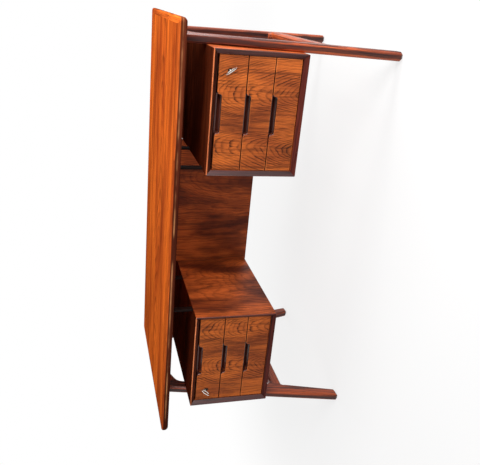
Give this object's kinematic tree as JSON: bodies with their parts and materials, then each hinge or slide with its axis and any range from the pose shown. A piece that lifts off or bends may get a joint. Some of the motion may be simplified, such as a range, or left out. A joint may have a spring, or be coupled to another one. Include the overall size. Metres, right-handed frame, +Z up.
{
  "type": "desk",
  "caption": "Executive desk in lacquered rosewood with a raised desktop, splayed leg frames, two drawer pedestals with notched pulls, and locks with keys in the top drawers",
  "frame": {"origin": "on the floor, under the middle of the desktop", "axes": "+X to the sitter's right along the desktop's length, +Y from the sitter to the back, +Z up"},
  "size_m": [1.5, 0.75, 0.735],
  "materials": {
    "rosewood_veneer": "semi-gloss lacquered veneer",
    "rosewood_solid": "semi-gloss lacquered solid wood",
    "rosewood_front": "semi-gloss lacquered veneer",
    "rosewood_dark": "semi-gloss lacquered solid wood",
    "drawer_wood": "plain planed wood",
    "drawer_panel": "plain plywood",
    "plate_steel": "brushed",
    "bolt_brass": "plain",
    "key_nickel": "polished nickel plating"
  },
  "bodies": {
    "desk": {"desktop_board": "rosewood_veneer", "drawer_runners": "drawer_wood", "leg_back_left": "rosewood_solid", "leg_back_right": "rosewood_solid", "leg_front_left": "rosewood_solid", "leg_front_right": "rosewood_solid", "lipping_back": "rosewood_solid", "lipping_front": "rosewood_solid", "lipping_left": "rosewood_solid", "lipping_right": "rosewood_solid", "modesty_panel": "rosewood_veneer", "pedestal_left_back": "rosewood_veneer", "pedestal_left_bottom": "rosewood_veneer", "pedestal_left_inner_side": "rosewood_veneer", "pedestal_left_outer_side": "rosewood_veneer", "pedestal_left_top": "rosewood_veneer", "pedestal_right_back": "rosewood_veneer", "pedestal_right_bottom": "rosewood_veneer", "pedestal_right_inner_side": "rosewood_veneer", "pedestal_right_outer_side": "rosewood_veneer", "pedestal_right_top": "rosewood_veneer", "spacer_posts": "rosewood_dark", "stretcher_left": "rosewood_solid", "stretcher_right": "rosewood_solid", "strike_plates": "plate_steel", "upper_rail_left": "rosewood_solid", "upper_rail_right": "rosewood_solid"},
    "drawer_left_bottom": {"drawer_left_bottom_bottom": "drawer_panel", "drawer_left_bottom_front": "rosewood_front", "drawer_left_bottom_pull": "rosewood_dark", "drawer_left_bottom_walls": "drawer_wood"},
    "drawer_left_middle": {"drawer_left_middle_bottom": "drawer_panel", "drawer_left_middle_front": "rosewood_front", "drawer_left_middle_pull": "rosewood_dark", "drawer_left_middle_walls": "drawer_wood"},
    "drawer_left_top": {"drawer_left_top_bottom": "drawer_panel", "drawer_left_top_front": "rosewood_front", "drawer_left_top_pull": "rosewood_dark", "drawer_left_top_walls": "drawer_wood", "lock_left_case": "plate_steel", "lock_left_liner": "plate_steel"},
    "key_left": {"lock_left_key": "key_nickel"},
    "bolt_left": {"lock_left_bolt": "bolt_brass"},
    "drawer_right_bottom": {"drawer_right_bottom_bottom": "drawer_panel", "drawer_right_bottom_front": "rosewood_front", "drawer_right_bottom_pull": "rosewood_dark", "drawer_right_bottom_walls": "drawer_wood"},
    "drawer_right_middle": {"drawer_right_middle_bottom": "drawer_panel", "drawer_right_middle_front": "rosewood_front", "drawer_right_middle_pull": "rosewood_dark", "drawer_right_middle_walls": "drawer_wood"},
    "drawer_right_top": {"drawer_right_top_bottom": "drawer_panel", "drawer_right_top_front": "rosewood_front", "drawer_right_top_pull": "rosewood_dark", "drawer_right_top_walls": "drawer_wood", "lock_right_case": "plate_steel", "lock_right_liner": "plate_steel"},
    "key_right": {"lock_right_key": "key_nickel"},
    "bolt_right": {"lock_right_bolt": "bolt_brass"}
  },
  "joints": [
    {"name": "drawer_left_bottom_slide", "type": "slide", "parent": "desk", "child": "drawer_left_bottom", "axis": [0, -1, 0], "range_m": [0, 0.38]},
    {"name": "drawer_left_middle_slide", "type": "slide", "parent": "desk", "child": "drawer_left_middle", "axis": [0, -1, 0], "range_m": [0, 0.38]},
    {"name": "drawer_left_top_slide", "type": "slide", "parent": "desk", "child": "drawer_left_top", "axis": [0, -1, 0], "range_m": [0, 0.38]},
    {"name": "key_left_turn", "type": "hinge", "parent": "drawer_left_top", "child": "key_left", "pos_m": [-0.6065, -0.315, 0.565], "axis": [0, 1, 0], "range_deg": [0, 90]},
    {"name": "bolt_left_slide", "type": "slide", "parent": "drawer_left_top", "child": "bolt_left", "axis": [0, 0, 1], "range_m": [0, 0.011]},
    {"name": "drawer_right_bottom_slide", "type": "slide", "parent": "desk", "child": "drawer_right_bottom", "axis": [0, -1, 0], "range_m": [0, 0.38]},
    {"name": "drawer_right_middle_slide", "type": "slide", "parent": "desk", "child": "drawer_right_middle", "axis": [0, -1, 0], "range_m": [0, 0.38]},
    {"name": "drawer_right_top_slide", "type": "slide", "parent": "desk", "child": "drawer_right_top", "axis": [0, -1, 0], "range_m": [0, 0.38]},
    {"name": "key_right_turn", "type": "hinge", "parent": "drawer_right_top", "child": "key_right", "pos_m": [0.6065, -0.315, 0.565], "axis": [0, -1, 0], "range_deg": [0, 90]},
    {"name": "bolt_right_slide", "type": "slide", "parent": "drawer_right_top", "child": "bolt_right", "axis": [0, 0, 1], "range_m": [0, 0.011]}
  ],
  "couplings": [
    {"joint": "key_left_turn", "follows": "bolt_left_slide", "rad_per_m": 142.8},
    {"joint": "key_right_turn", "follows": "bolt_right_slide", "rad_per_m": 142.8}
  ]
}
